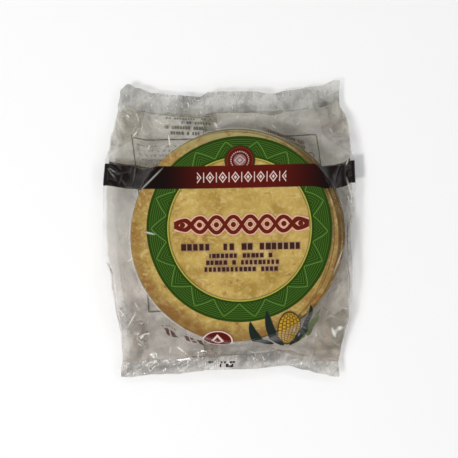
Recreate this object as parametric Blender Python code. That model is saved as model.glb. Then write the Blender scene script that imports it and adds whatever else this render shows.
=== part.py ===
"""A sealed clear pack that holds a stack of corn tortillas, lying on its back.

Metres, +Z up. The origin is on the surface that the pack lies on, under the middle of its box.
+X runs across the pack, +Y runs along the film tube to the seal at the head of the print.
The film is shut all round, so the pack is one solid: the round stack, the film that falls
from its rim to the two long sides, and the flat crimped seals at the two ends.
"""

import math

import bmesh
import bpy

# The food. Twenty-two tortillas, each a little under two millimetres thick, in a leaning stack.
TORTILLA_DIAMETER = 0.150
TORTILLA_COUNT = 22
TORTILLA_PITCH = 0.00167
STACK_HEIGHT = TORTILLA_COUNT * TORTILLA_PITCH
STACK_TOP_CENTRE = (0.0054, -0.0045)
STACK_FOOT_CENTRE = (0.0105, 0.0012)

# The film as it lies: half the box, and the seals at both ends.
HALF_WIDTH = 0.0935
HALF_LENGTH = 0.1110
HEAD_SEAL_DEPTH = 0.0160
FOOT_SEAL_DEPTH = 0.0115
SEAL_THICKNESS = 0.0012
SEAL_LIFT = 0.0165
SEAL_WAVE = 0.0016
SEAL_DROOP = 0.0020
CORNER_DROP = 0.0095
FILM_SLACK = 0.0006

# The two long sides are soft rounded folds. The right one is held up by the stack, which leans that way.
LEFT_FOLD_HEIGHT = 0.0135
RIGHT_FOLD_HEIGHT = 0.0175
FOLD_ROUNDING = 0.0028

# Where each edge of the pack runs, seen from above: distance along the edge, then the edge's place.
LEFT_SIDE = (
    (-HALF_LENGTH, -0.0805),
    (-0.084, -0.0825),
    (-0.055, -0.0862),
    (-0.012, -HALF_WIDTH),
    (0.040, -0.0928),
    (0.080, -0.0870),
    (HALF_LENGTH, -0.0780),
)
RIGHT_SIDE = (
    (-HALF_LENGTH, 0.0832),
    (-0.088, 0.0856),
    (-0.066, 0.0912),
    (-0.012, 0.0902),
    (0.036, HALF_WIDTH),
    (0.078, 0.0912),
    (0.096, 0.0848),
    (HALF_LENGTH, 0.0830),
)
HEAD_END = (
    (-HALF_WIDTH, 0.1100),
    (-0.078, 0.1078),
    (-0.058, 0.1012),
    (-0.022, 0.0990),
    (0.018, 0.1022),
    (0.052, 0.1036),
    (0.083, HALF_LENGTH),
    (HALF_WIDTH, HALF_LENGTH),
)
FOOT_END = (
    (-HALF_WIDTH, -HALF_LENGTH),
    (-0.076, -HALF_LENGTH),
    (-0.034, -0.1066),
    (0.006, -0.1038),
    (0.046, -0.1026),
    (0.074, -0.1094),
    (HALF_WIDTH, -0.1106),
)

# Each ring round the pack has this many points on each of its four sides.
POINTS_PER_SIDE = 24
RING_POINTS = 4 * POINTS_PER_SIDE

# The rounded rim of the stack: how far in from the stack's side, and how far down from its top.
RIM = ((0.0034, 0.0), (0.0010, 0.0007), (0.0, 0.0026))
# The film between rim and edge, as shares of the way out and of the way down.
UPPER_FALL = ((0.24, 0.30), (0.50, 0.58), (0.77, 0.83))
LOWER_RISE = ((0.70, 0.58), (0.34, 0.20))
# The flat on the underside is this much smaller than the stack.
FOOT_INSET = 0.0015

FILM_COLOUR = (0.68, 0.62, 0.44, 1.0)
FILM_ROUGHNESS = 0.25


def smooth_line(knots, at):
    """The height at `at` of a smooth line through the knots, with no overshoot between them."""
    if at <= knots[0][0]:
        return knots[0][1]
    for (a, low), (b, high) in zip(knots, knots[1:]):
        if at <= b:
            share = (at - a) / (b - a)
            return low + (high - low) * share * share * (3.0 - 2.0 * share)
    return knots[-1][1]


def mix(low, high, share):
    return low + (high - low) * share


def side_share(step):
    """How far along its side a point lies, spaced so that lines from the middle fan out evenly."""
    return 0.5 + 0.5 * math.tan(math.radians(mix(-45.0, 45.0, step / POINTS_PER_SIDE)))


def end_at(head, across, inward):
    """An end's edge at a place across the pack, moved in by the share `inward` of its seal's depth."""
    if head:
        return smooth_line(HEAD_END, across) - inward * HEAD_SEAL_DEPTH
    return smooth_line(FOOT_END, across) + inward * FOOT_SEAL_DEPTH


def side_at(right, along, inward):
    """A long side at a place along the pack, moved in by the share `inward` of its fold's rounding."""
    if right:
        return smooth_line(RIGHT_SIDE, along) - inward * FOLD_ROUNDING
    return smooth_line(LEFT_SIDE, along) + inward * FOLD_ROUNDING


def corner(right, head, inward):
    """Where a long side meets an end, found by stepping from one edge to the other."""
    x, y = 0.0, HALF_LENGTH if head else -HALF_LENGTH
    for _ in range(8):
        x = side_at(right, y, inward)
        y = end_at(head, x, inward)
    return x, y


def outline(inward):
    """The points round the pack, on its cut edge for 0, and inside its seals and folds for 1.

    They start at the right foot corner and run anticlockwise seen from above.
    """
    corners = {(right, head): corner(right, head, inward) for right in (0, 1) for head in (0, 1)}
    run = [(1, 0), (1, 1), (0, 1), (0, 0)]
    points = []
    for start, end in zip(run, run[1:] + run[:1]):
        for step in range(POINTS_PER_SIDE):
            share = side_share(step)
            if start[0] == end[0]:
                y = mix(corners[start][1], corners[end][1], share)
                x = side_at(start[0], y, inward)
            else:
                x = mix(corners[start][0], corners[end][0], share)
                y = end_at(start[1], x, inward)
            points.append((x, y))
    return points


def edge_height(x, y):
    """The height of the middle of the film's edge: folds at the sides, wavy seals at the ends."""
    side_height = mix(LEFT_FOLD_HEIGHT, RIGHT_FOLD_HEIGHT, 0.5 + 0.5 * x / HALF_WIDTH)
    wave = math.sin(2.0 * math.pi * x / 0.088 + (0.6 if y > 0.0 else 2.4))
    end_height = SEAL_LIFT + SEAL_WAVE * wave - CORNER_DROP * (x / HALF_WIDTH) ** 2
    endness = min(max((abs(y) - 0.060) / 0.036, 0.0), 1.0)
    return mix(side_height, end_height, endness * endness * (3.0 - 2.0 * endness))


def cut_height(x, y):
    """The same for the cut edge, where the ends of the seals hang a little lower than their insides."""
    endness = min(max((abs(y) - 0.080) / 0.024, 0.0), 1.0)
    return edge_height(x, y) - SEAL_DROOP * endness


def circle(centre, radius):
    """Points round a circle that stand in line with the points of the outline."""
    points = []
    for index in range(RING_POINTS):
        angle = math.radians(-45.0) + 2.0 * math.pi * index / RING_POINTS
        points.append((centre[0] + radius * math.cos(angle), centre[1] + radius * math.sin(angle)))
    return points


def lifted(points, height):
    """The points at one height, or each at the height that a function gives."""
    return [(x, y, height(x, y) if callable(height) else height) for x, y in points]


def between(inner, outer, out_share, down_share):
    """A ring part of the way from an inner ring to an outer one."""
    return [
        (mix(a[0], b[0], out_share), mix(a[1], b[1], out_share), mix(a[2], b[2], down_share))
        for a, b in zip(inner, outer)
    ]


def pack_rings():
    """Every ring of the pack in order, from the flat top, out round the edge and back under to the foot."""
    radius = TORTILLA_DIAMETER / 2.0 + FILM_SLACK
    top = STACK_HEIGHT + FILM_SLACK
    rings = [lifted(circle(STACK_TOP_CENTRE, radius - inward), top - down) for inward, down in RIM]

    half_seal = SEAL_THICKNESS / 2.0
    seal_line = outline(1.0)
    cut_line = outline(0.0)

    def fold_half(x, y):
        """Half the height of the film's edge: thick along the soft folds, thin along the seals."""
        endness = min(max((abs(y) - 0.072) / 0.022, 0.0), 1.0)
        return mix(FOLD_ROUNDING, half_seal, endness)

    upper_edge = lifted(seal_line, lambda x, y: edge_height(x, y) + fold_half(x, y))
    lower_edge = lifted(seal_line, lambda x, y: edge_height(x, y) - fold_half(x, y))
    rings += [between(rings[2], upper_edge, out, down) for out, down in UPPER_FALL]
    rings += [
        upper_edge,
        lifted(cut_line, lambda x, y: cut_height(x, y) + half_seal),
        lifted(cut_line, lambda x, y: cut_height(x, y) - half_seal),
        lower_edge,
    ]
    foot = lifted(circle(STACK_FOOT_CENTRE, TORTILLA_DIAMETER / 2.0 - FOOT_INSET), 0.0)
    rings += [between(foot, lower_edge, out, down) for out, down in LOWER_RISE]
    rings.append(foot)
    return rings


def make_pack():
    """One closed mesh: the rings bridged in order, with a flat face on the top and on the foot."""
    shape = bmesh.new()
    loops = [[shape.verts.new(point) for point in ring] for ring in pack_rings()]
    for inner, outer in zip(loops, loops[1:]):
        for index in range(RING_POINTS):
            after = (index + 1) % RING_POINTS
            shape.faces.new((inner[index], outer[index], outer[after], inner[after]))
    shape.faces.new(loops[0])
    shape.faces.new(list(reversed(loops[-1])))
    bmesh.ops.recalc_face_normals(shape, faces=shape.faces)

    mesh = bpy.data.meshes.new("tortilla_pack")
    shape.to_mesh(mesh)
    shape.free()
    mesh.shade_smooth()
    mesh.set_sharp_from_angle(angle=math.radians(40.0))
    pack = bpy.data.objects.new("tortilla_pack", mesh)
    bpy.context.scene.collection.objects.link(pack)
    return pack


def film_material():
    """Clear glossy film over pale yellow food, as one even colour."""
    material = bpy.data.materials.new("film_over_tortillas")
    material.use_nodes = True
    shader = material.node_tree.nodes["Principled BSDF"]
    shader.inputs["Base Color"].default_value = FILM_COLOUR
    shader.inputs["Roughness"].default_value = FILM_ROUGHNESS
    shader.inputs["Metallic"].default_value = 0.0
    return material


for leftover in list(bpy.data.objects):
    bpy.data.objects.remove(leftover, do_unlink=True)

tortilla_pack = make_pack()
tortilla_pack.data.materials.append(film_material())
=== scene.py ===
"""The looks of a sealed clear pack of corn tortillas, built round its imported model.

Metres, +Z up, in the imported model's frame: the pack lies on its back at z = 0, +X runs across it
and +Y along the film tube to the end that is the head of the print. The sections follow the pack
as it is made: the tortillas, the film round them with its print, the sealed ends, the back seam.
"""

import math

import bpy
import numpy as np
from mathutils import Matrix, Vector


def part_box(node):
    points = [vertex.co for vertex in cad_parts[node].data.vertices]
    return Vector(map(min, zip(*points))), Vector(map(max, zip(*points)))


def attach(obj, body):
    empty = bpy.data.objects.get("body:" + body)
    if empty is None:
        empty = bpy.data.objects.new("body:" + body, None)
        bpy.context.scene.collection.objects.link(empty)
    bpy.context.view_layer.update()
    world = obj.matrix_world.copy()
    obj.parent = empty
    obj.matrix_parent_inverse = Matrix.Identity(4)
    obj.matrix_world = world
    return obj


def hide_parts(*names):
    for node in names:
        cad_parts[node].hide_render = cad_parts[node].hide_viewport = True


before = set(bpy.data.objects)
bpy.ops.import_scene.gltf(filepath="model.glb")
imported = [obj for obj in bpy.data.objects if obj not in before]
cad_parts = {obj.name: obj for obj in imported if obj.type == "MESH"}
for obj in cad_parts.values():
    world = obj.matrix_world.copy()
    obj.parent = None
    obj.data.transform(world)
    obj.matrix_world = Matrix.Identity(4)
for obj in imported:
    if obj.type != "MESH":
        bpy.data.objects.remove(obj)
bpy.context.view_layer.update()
pack_low, pack_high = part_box("tortilla_pack")


# ---- The stage ------------------------------------------------------------------------------
# A pale floor under the pack, a camera straight above it, a small strong lamp at the lower left
# and four long narrow ones that make the film's sharp glints, and a sky that is pale at the horizon.

CAMERA_HEIGHT = 0.700
LENS_MM = 73.5
SENSOR_MM = 36.0

camera_data = bpy.data.cameras.new("camera")
camera_data.lens = LENS_MM
camera_data.sensor_width = SENSOR_MM
camera_data.clip_start = 0.01
camera = bpy.data.objects.new("camera", camera_data)
camera.location = (0.0, 0.0, CAMERA_HEIGHT)
bpy.context.scene.collection.objects.link(camera)
bpy.context.scene.camera = camera

FLOOR_HALF = 3.0
FLOOR_COLOUR = (0.96, 0.96, 0.96, 1.0)

floor_mesh = bpy.data.meshes.new("floor")
floor_corners = [(x * FLOOR_HALF, y * FLOOR_HALF, -0.0002) for x, y in ((-1, -1), (1, -1), (1, 1), (-1, 1))]
floor_mesh.from_pydata(floor_corners, [], [(0, 1, 2, 3)])
floor = bpy.data.objects.new("floor", floor_mesh)
bpy.context.scene.collection.objects.link(floor)
floor_material = bpy.data.materials.new("floor_paper")
floor_material.use_nodes = True
floor_shader = floor_material.node_tree.nodes["Principled BSDF"]
floor_shader.inputs["Base Color"].default_value = FLOOR_COLOUR
floor_shader.inputs["Roughness"].default_value = 0.9
floor_shader.inputs["Specular IOR Level"].default_value = 0.0
floor_shader.inputs["Emission Color"].default_value = (1.0, 1.0, 1.0, 1.0)
floor_shader.inputs["Emission Strength"].default_value = 0.06
floor_mesh.materials.append(floor_material)

SKY_LOW, SKY_HIGH = 0.40, 0.14
sky = bpy.data.worlds.new("sky")
sky.use_nodes = True
sky_nodes = sky.node_tree.nodes
sky_way = sky_nodes.new("ShaderNodeTexCoord")
sky_height = sky_nodes.new("ShaderNodeSeparateXYZ")
sky_level = sky_nodes.new("ShaderNodeMapRange")
for socket, value in (("From Min", 0.05), ("From Max", 0.40), ("To Min", SKY_LOW), ("To Max", SKY_HIGH)):
    sky_level.inputs[socket].default_value = value
sky.node_tree.links.new(sky_way.outputs["Generated"], sky_height.inputs["Vector"])
sky.node_tree.links.new(sky_height.outputs["Z"], sky_level.inputs["Value"])
sky.node_tree.links.new(sky_level.outputs["Result"], sky_nodes["Background"].inputs["Strength"])
sky_nodes["Background"].inputs["Color"].default_value = (1.0, 1.0, 1.0, 1.0)
bpy.context.scene.world = sky
bpy.context.scene.view_settings.view_transform = "Standard"


def lamp(name, place, length, width, power):
    """A lamp of the given size that shines on the middle of the pack. Its length is level."""
    data = bpy.data.lights.new(name, "AREA")
    data.shape = "RECTANGLE"
    data.size, data.size_y = length, width
    data.energy = power
    light = bpy.data.objects.new(name, data)
    x, y, z = place
    distance = math.sqrt(x * x + y * y + z * z)
    light.location = place
    light.rotation_euler = (math.acos(z / distance), 0.0, math.atan2(y, x) + math.pi / 2.0)
    bpy.context.scene.collection.objects.link(light)
    return light


lamp("key", (-0.80, -0.50, 1.76), 0.24, 0.24, 18.0)
lamp("left", (-0.85, 0.10, 1.50), 1.50, 0.05, 3.6)
lamp("foot", (-0.10, -0.90, 1.50), 1.50, 0.05, 4.0)
lamp("head", (0.10, 0.90, 1.50), 1.50, 0.05, 4.4)
lamp("right", (0.95, 0.00, 1.50), 1.20, 0.05, 3.4)


# ---- The tortillas --------------------------------------------------------------------------
# Twenty-two soft corn tortillas in a stack that leans to the right and towards the head. Each is
# a thin uneven disc with a rounded edge. They lie on each other and on the film under them.

TORTILLA_RADIUS = 0.0747
TORTILLA_COUNT = 22
FILM_GAP = 0.0006
STACK_TOP = pack_high.z - FILM_GAP
TORTILLA_PITCH = (STACK_TOP - FILM_GAP) / TORTILLA_COUNT
TORTILLA_THICKNESS = 0.93 * TORTILLA_PITCH
TOP_CENTRE = np.array((0.0054, -0.0045))
FOOT_CENTRE = np.array((0.0105, -0.0018))
# The top ones fall short on the right by this much each, the topmost last, so their edges show as steps.
STEPS_RIGHT = (0.0013, 0.0029, 0.0049, 0.0062)
chance = np.random.default_rng(22)


def mesh_object(name, points, faces, uv=None):
    """A smooth mesh object at the origin, with an optional UV for each point."""
    mesh = bpy.data.meshes.new(name)
    mesh.from_pydata(points.reshape(-1, 3).tolist(), [], faces)
    if uv is not None:
        layer = mesh.uv_layers.new(name="OFBake")
        corner_points = np.empty(len(mesh.loops), dtype=np.int32)
        mesh.loops.foreach_get("vertex_index", corner_points)
        layer.data.foreach_set("uv", uv.reshape(-1, 2)[corner_points].astype(np.float32).ravel())
    mesh.shade_smooth()
    piece = bpy.data.objects.new(name, mesh)
    bpy.context.scene.collection.objects.link(piece)
    return piece


def grid_faces(rows, columns, around=False):
    """The quads of a grid of points, which closes on itself across its columns if `around`."""
    row = np.arange(rows - 1)[:, None]
    column = np.arange(columns if around else columns - 1)[None, :]
    after = (column + 1) % columns
    near, far = row * columns, (row + 1) * columns
    corners = (near + column, near + after, far + after, far + column)
    return np.stack([c.ravel() for c in corners], axis=1).tolist()


def closed_faces(rings):
    """The faces of rings of points that make a closed strip, with a flat face at each end of it."""
    rows, ring = rings.shape[:2]
    sides = grid_faces(rows, ring, around=True)
    return [*sides, tuple(reversed(range(ring))), tuple(range((rows - 1) * ring, rows * ring))]


def disc_points(centre, height, thickness, radii, top_shares, edge_steps):
    """Rings of a soft disc: out over its top, round its edge as a half ellipse, in under its foot.

    A ring stands at a share of the disc's outline `radii`, which has one radius for each spoke.
    """
    turn = np.linspace(0.0, math.pi, edge_steps)
    round_in = 0.45 * thickness / radii.mean()
    shares = np.concatenate([top_shares, 1.0 - round_in + round_in * np.sin(turn), top_shares[::-1]])
    lifts = np.concatenate([np.ones(len(top_shares)), np.cos(turn), -np.ones(len(top_shares))])
    angle = np.linspace(0.0, 2.0 * math.pi, len(radii), endpoint=False)
    x = centre[0] + shares[:, None] * radii * np.cos(angle)
    y = centre[1] + shares[:, None] * radii * np.sin(angle)
    z = height + 0.5 * thickness * lifts[:, None] * np.ones_like(x)
    return np.stack([x, y, z], axis=2)


def uneven_outline(spokes, depth, lobes=9):
    """A round outline with a few random slow waves, at most about `depth` of the radius deep."""
    angle = np.linspace(0.0, 2.0 * math.pi, spokes, endpoint=False)
    outline = np.ones(spokes)
    for wave in range(2, lobes):
        outline += depth / wave * chance.uniform(0.4, 1.0) * np.sin(wave * angle + chance.uniform(0.0, 6.3))
    return TORTILLA_RADIUS * outline


def capped_faces(rings, spokes):
    """The faces of rings of points that close on two poles, which follow the rings' points."""
    sides = grid_faces(rings, spokes, around=True)
    first, last = rings * spokes, rings * spokes + 1
    top = [(first, (k + 1) % spokes, k) for k in range(spokes)]
    base = (rings - 1) * spokes
    foot = [(last, base + k, base + (k + 1) % spokes) for k in range(spokes)]
    return [tuple(reversed(face)) for face in (*sides, *top, *foot)]


def tortilla_disc(layer, spokes, top_shares):
    """The rings and poles of one tortilla. Its edge lifts and sinks a little, as soft bread does."""
    lean = layer / (TORTILLA_COUNT - 1)
    centre = FOOT_CENTRE + (TOP_CENTRE - FOOT_CENTRE) * lean + chance.normal(0.0, 0.0007, 2)
    height = FILM_GAP + (layer + 0.5) * TORTILLA_PITCH
    angle = np.linspace(0.0, 2.0 * math.pi, spokes, endpoint=False)
    stepped = layer >= TORTILLA_COUNT - len(STEPS_RIGHT)
    short = STEPS_RIGHT[layer - TORTILLA_COUNT] if stepped else 0.0
    outline = uneven_outline(spokes, 0.010) - short * np.clip(np.cos(angle + 0.15), 0.0, 1.0) ** 2
    rings = disc_points(centre, height, TORTILLA_THICKNESS, outline, top_shares, 7)
    flutter = 0.00022 * np.sin(3.0 * angle + chance.uniform(0, 6.3)) + 0.00014 * np.sin(7.0 * angle + layer)
    distance = np.hypot(rings[..., 0] - centre[0], rings[..., 1] - centre[1]) / TORTILLA_RADIUS
    waviness = 0.0 if layer in (0, TORTILLA_COUNT - 1) else 0.3 if stepped else 1.0
    rings[..., 2] += flutter * distance**6 * waviness
    poles = [(*centre, height + side * 0.5 * TORTILLA_THICKNESS) for side in (1.0, -1.0)]
    return rings, np.array(poles)


class Wire:
    """A socket of a material. Arithmetic on it adds Math nodes, and `node` adds any other node."""

    def __init__(self, tree, socket=None):
        self.tree = tree
        self.socket = socket

    def node(self, kind, settings, links, output=0):
        """Adds a node. Its settings come first, then values or wires for its inputs."""
        new = self.tree.nodes.new("ShaderNode" + kind)
        for name, setting in settings.items():
            if name == "stops":
                ramp = new.color_ramp
                while len(ramp.elements) < len(setting):
                    ramp.elements.new(0.5)
                for element, (place, colour) in zip(ramp.elements, setting):
                    element.position = place
                    element.color = colour
            else:
                setattr(new, name, setting)
        for name, link in links.items():
            if isinstance(link, Wire):
                self.tree.links.new(link.socket, new.inputs[name])
            else:
                new.inputs[name].default_value = link
        return Wire(self.tree, new.outputs[output])

    def math(self, operation, *terms):
        return self.node("Math", {"operation": operation}, dict(enumerate(terms)))

    def of(self, operation, *others):
        """The operation on this value first, and then on the others."""
        return self.math(operation, self, *others)

    def __add__(self, other):
        return self.of("ADD", other)

    def __sub__(self, other):
        return self.of("SUBTRACT", other)

    def __mul__(self, other):
        return self.of("MULTIPLY", other)

    def __truediv__(self, other):
        return self.of("DIVIDE", other)

    def __rsub__(self, other):
        return self.math("SUBTRACT", other, self)

    def __rtruediv__(self, other):
        return self.math("DIVIDE", other, self)

    def __neg__(self):
        return self.of("MULTIPLY", -1.0)

    __radd__ = __add__
    __rmul__ = __mul__

    def below(self, other):
        """The smaller of two values: where two masks both hold."""
        return self.of("MINIMUM", other)

    def above(self, other):
        """The larger of two values: where either of two masks holds."""
        return self.of("MAXIMUM", other)

    def size(self):
        return self.of("ABSOLUTE")

    def fraction(self):
        """What is left over the whole number below."""
        return self.of("FRACT")

    def length(self, other):
        """The distance that this value and another across it make together."""
        return (self * self + other * other).of("SQRT")

    def parts(self):
        """The three parts of a vector, each as a wire."""
        apart = self.node("SeparateXYZ", {}, {"Vector": self})
        return [Wire(self.tree, output) for output in apart.socket.node.outputs]

    def rise(self, low, high):
        """0 up to `low`, 1 from `high`, and a smooth step between. It falls if low is above high."""
        ends = {"Value": self, "From Min": low, "From Max": high}
        if low > high:
            ends = {"Value": self, "From Min": high, "From Max": low, "To Min": 1.0, "To Max": 0.0}
        return self.node("MapRange", {"interpolation_type": "SMOOTHSTEP", "clamp": True}, ends)

    def near(self, middle, half, soft=0.15):
        """1 within `half` of the middle, with an edge `soft` wide on both sides."""
        return (self - middle).size().rise(half + soft, half - soft)

    def between(self, low, high, soft=0.15):
        """1 from `low` to `high`, with an edge `soft` wide on both sides."""
        return self.near(0.5 * (low + high), 0.5 * (high - low), soft)

    def noise(self, scale, detail=2.0, roughness=0.5, distortion=0.0):
        links = {"Scale": scale, "Detail": detail, "Roughness": roughness, "Distortion": distortion}
        return self.node("TexNoise", {}, {"Vector": self, **links})

    def blend(self, low, high):
        """From one colour to another as this value goes from 0 to 1."""
        settings = {"data_type": "RGBA", "clamp_factor": True}
        return self.node("Mix", settings, {0: self, 6: low, 7: high}, output=2)

    def into(self, shader, name):
        """Plugs this value into an input of the shader."""
        self.tree.links.new(self.socket, shader.inputs[name])

    def relief(self, shader, strength, distance):
        """Gives the shader this value as a fine relief of its surface."""
        links = {"Strength": strength, "Distance": distance, "Height": self}
        self.node("Bump", {}, links).into(shader, "Normal")


def new_material(name):
    """A material with its Principled shader, and a wire into its node tree."""
    material = bpy.data.materials.new(name)
    material.use_nodes = True
    shader = material.node_tree.nodes["Principled BSDF"]
    return material, shader, Wire(material.node_tree)


def colour(band_red_and_shade, green, blue):
    """A screen colour of 0 to 255 as the linear colour that nodes take."""
    parts = [value / 255.0 for value in (band_red_and_shade, green, blue)]
    return (*[((c + 0.055) / 1.055) ** 2.4 if c > 0.04045 else c / 12.92 for c in parts], 1.0)


def tortilla_finish():
    """Pale yellow corn bread: fine pale grain, soft deeper patches, and toasted freckles. Painted shade
    darkens the lower layers and their edges, and a painted sheen greys the rim towards the head.
    """
    material, shader, wire = new_material("corn_tortilla")
    place = wire.node("TexCoord", {}, {}, output=3)
    patches = place.noise(55.0, 3.0, 0.6).rise(0.38, 0.66)
    crumb = patches.blend(colour(198, 167, 86), colour(168, 135, 56))
    x, y, z = place.parts()
    rim = (x - float(TOP_CENTRE[0])).length(y - float(TOP_CENTRE[1])).rise(0.060, 0.073)
    crumb = (rim * 0.85).blend(crumb, patches.blend(colour(154, 126, 62), colour(146, 100, 40)))
    grain = place.noise(250.0, 3.0, 0.65).rise(0.48, 0.68)
    crumb = (grain * (0.55 - 0.25 * rim)).blend(crumb, colour(214, 188, 122))
    meal = place.noise(430.0, 2.0, 0.6).rise(0.54, 0.66)
    crumb = (meal * 0.22).blend(crumb, colour(228, 206, 146))
    pale = place.noise(150.0, 2.0, 0.5, 0.8).rise(0.60, 0.70)
    crumb = (pale * 0.45).blend(crumb, colour(226, 200, 136))
    # Painted shade and sheen: the rim turns greyer and paler towards the head.
    crumb = (rim * y.rise(0.045, 0.068) * 0.8).blend(crumb, colour(168, 160, 108))
    toast = rim * y.rise(-0.015, -0.070) * x.rise(0.062, 0.010) * patches.rise(-0.6, 0.8)
    crumb = (toast * 0.90).blend(crumb, colour(126, 86, 32))
    freckles = place.noise(170.0, 4.0, 0.62, 0.4).rise(0.52, 0.68)
    browned = place.noise(38.0, 2.0, 0.5).rise(0.40, 0.66).above(rim * 0.8)
    crumb = (freckles * browned * 0.8).blend(crumb, colour(138, 84, 34))
    # Painted shade: the layers below the top darken, most towards the right.
    under = z.rise(STACK_TOP - TORTILLA_PITCH, 0.004) * (0.30 + 0.45 * x.rise(0.010, 0.055))
    crumb = under.blend(crumb, colour(108, 86, 50))
    # Painted shade on the edges of the upper layers, darkest low on each edge, where one layer meets the
    # next.
    edge = ((z - FILM_GAP) / TORTILLA_PITCH).fraction().rise(0.93, 0.72) * z.rise(0.022, 0.028)
    crumb = (edge * 0.5).blend(crumb, colour(100, 76, 40))
    crumb.into(shader, "Base Color")
    shader.inputs["Roughness"].default_value = 0.75
    shader.inputs["Specular IOR Level"].default_value = 0.25
    place.noise(300.0, 4.0, 0.6).relief(shader, 0.5, 0.0004)
    return material


tortilla_material = tortilla_finish()
TOP_SHARES = np.concatenate([np.linspace(0.02, 0.90, 45), np.linspace(0.92, 0.985, 6)])
LAYER_SHARES = np.array([0.30, 0.70, 0.88, 0.96, 0.985])
EDGE_SPOKES = 144


def tortilla_piece(name, layers, spokes, top_shares):
    """One mesh of the tortillas of the given layers, each a closed disc."""
    points, faces, start = [], [], 0
    for layer in layers:
        rings, poles = tortilla_disc(layer, spokes, top_shares)
        disc = np.concatenate([rings.reshape(-1, 3), poles])
        faces += [tuple(start + k for k in face) for face in capped_faces(len(rings), spokes)]
        points.append(disc)
        start += len(disc)
    piece = mesh_object(name, np.concatenate(points), faces)
    piece.data.materials.append(tortilla_material)
    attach(piece, "root")
    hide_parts("tortilla_pack")
    return piece


tortilla_piece("tortilla_top", [TORTILLA_COUNT - 1], 216, TOP_SHARES)
tortilla_piece("tortillas_between", range(1, TORTILLA_COUNT - 1), EDGE_SPOKES, LAYER_SHARES)
tortilla_piece("tortilla_bottom", [0], EDGE_SPOKES, LAYER_SHARES)


# ---- The clear film -------------------------------------------------------------------------
# One thin clear tube of film lies over and under the stack and is sealed flat at both ends. It
# is taut over the tortillas and hangs loose around them. Its two long sides are soft folds that
# tuck in towards the seals.

# Where the long sides run, as (y, x), and where the cut ends run, as (x, y).
LEFT_SIDE = (
    (-0.1110, -0.0798), (-0.0990, -0.0814), (-0.0756, -0.0822), (-0.0520, -0.0852), (-0.0403, -0.0866),
    (-0.0169, -0.0917), (-0.0030, -0.0925), (0.0300, -0.0925), (0.0536, -0.0910), (0.0653, -0.0895),
    (0.0770, -0.0866), (0.0888, -0.0844), (0.1005, -0.0807), (0.1080, -0.0772),
)
RIGHT_SIDE = (
    (-0.1110, 0.0812), (-0.1049, 0.0822), (-0.0873, 0.0851), (-0.0756, 0.0873), (-0.0638, 0.0902),
    (-0.0286, 0.0902), (-0.0051, 0.0888), (0.0007, 0.0888), (0.0120, 0.0915), (0.0300, 0.0924),
    (0.0536, 0.0917), (0.0770, 0.0902), (0.0829, 0.0888), (0.0917, 0.0843), (0.1005, 0.0829),
    (0.1110, 0.0822),
)
HEAD_END = (
    (-0.0935, 0.1000), (-0.0800, 0.1035), (-0.0745, 0.1070), (-0.0680, 0.1038), (-0.0560, 0.1000),
    (-0.0390, 0.0985), (-0.0215, 0.0972), (-0.0150, 0.1005), (0.0140, 0.1007), (0.0315, 0.0992),
    (0.0435, 0.1020), (0.0670, 0.1058), (0.0785, 0.1100), (0.0935, 0.1100),
)
FOOT_END = (
    (-0.0935, -0.1085), (-0.0745, -0.1095), (-0.0560, -0.1073), (-0.0390, -0.1064), (-0.0215, -0.1042),
    (-0.0150, -0.1028), (0.0140, -0.1027), (0.0435, -0.1005), (0.0550, -0.1034), (0.0670, -0.1064),
    (0.0785, -0.1090), (0.0935, -0.1095),
)
HALF_WIDTH = 0.0935
HEAD_SEAL_DEPTH = 0.0160
FOOT_SEAL_DEPTH = 0.0115
HALF_SEAL = 0.0004
SEAL_LIFT = 0.0165
SEAL_WAVE = 0.0016
SEAL_WAVE_LENGTH = 0.088
CORNER_DROP = 0.0095
LEFT_FOLD_HEIGHT = 0.0135
RIGHT_FOLD_HEIGHT = 0.0175
FOLD_ROUNDING = 0.0028
FRONT, BACK = 1.0, -1.0


def ease(share):
    """A smooth step from 0 to 1: 3s^2 - 2s^3, flat outside."""
    share = np.clip(share, 0.0, 1.0)
    return share * share * (3.0 - 2.0 * share)


def smooth_line(knots, at):
    """The line through the knots, with a smooth step from each knot to the next."""
    places, heights = np.array(knots).T
    at = np.clip(at, places[0], places[-1])
    k = np.clip(np.searchsorted(places, at, side="right") - 1, 0, len(places) - 2)
    share = (at - places[k]) / (places[k + 1] - places[k])
    return heights[k] + (heights[k + 1] - heights[k]) * ease(share)


def side_at(right, y, inward=1.0):
    """x of a long side, moved in by the share `inward` of its fold's rounding."""
    if right:
        return smooth_line(RIGHT_SIDE, y) - inward * FOLD_ROUNDING
    return smooth_line(LEFT_SIDE, y) + inward * FOLD_ROUNDING


def end_at(head, x, inward=1.0):
    """y of a sealed end, moved in by the share `inward` of its seal's depth."""
    if head:
        return smooth_line(HEAD_END, x) - inward * HEAD_SEAL_DEPTH
    return smooth_line(FOOT_END, x) + inward * FOOT_SEAL_DEPTH


def corner(right, head, inward=1.0):
    """Where a long side meets an end, found by stepping from one line to the other."""
    x, y = 0.0, 0.1 if head else -0.1
    for _ in range(12):
        x = float(side_at(right, y, inward))
        y = float(end_at(head, x, inward))
    return x, y


def edge_height(x, y):
    """Height of the middle of the film's edge: the folds' heights at the sides, a wave at the seals."""
    side = LEFT_FOLD_HEIGHT + (RIGHT_FOLD_HEIGHT - LEFT_FOLD_HEIGHT) * (0.5 + 0.5 * x / HALF_WIDTH)
    wave = np.sin(2.0 * np.pi * x / SEAL_WAVE_LENGTH + np.where(y > 0.0, 0.6, 2.4))
    end = SEAL_LIFT + SEAL_WAVE * wave - CORNER_DROP * (x / HALF_WIDTH) ** 2
    return side + (end - side) * ease((np.abs(y) - 0.060) / 0.036)


def fold_half(y):
    """Half the film's height along its long sides: a round fold that thins out to the seals."""
    return FOLD_ROUNDING + (HALF_SEAL - FOLD_ROUNDING) * ease((np.abs(y) - 0.072) / 0.022)


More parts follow.
